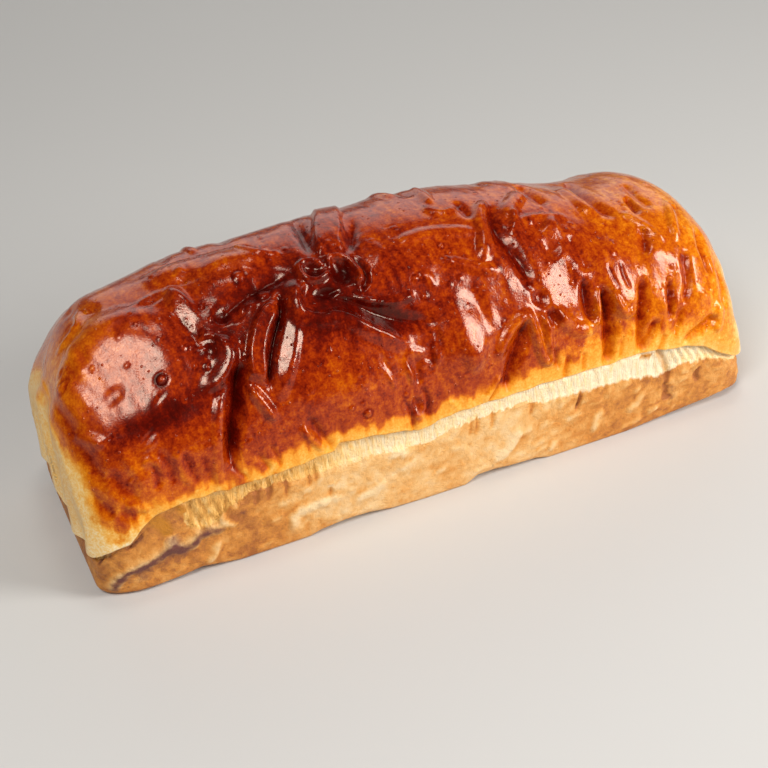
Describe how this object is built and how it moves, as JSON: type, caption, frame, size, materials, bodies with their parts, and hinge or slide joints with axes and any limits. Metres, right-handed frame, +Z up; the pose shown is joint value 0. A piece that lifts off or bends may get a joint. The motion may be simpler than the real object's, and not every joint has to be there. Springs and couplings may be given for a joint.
{
  "type": "whole pan loaf of bread",
  "caption": "Uncut rectangular pan loaf with a tall glossy brown crust, deep folds and creases, a pale torn band under the crust and golden flat-sided pan walls",
  "frame": {"origin": "middle of the flat base, on the surface the loaf rests on", "axes": "+X along the loaf, -Y the front with the pinched fold, +Z up"},
  "size_m": [0.3348, 0.1254, 0.1264],
  "materials": {
    "crust": "baked bread crust, glossy brown on top and matt golden on the pan sides"
  },
  "bodies": {
    "root": {"loaf": "crust"}
  },
  "joints": []
}
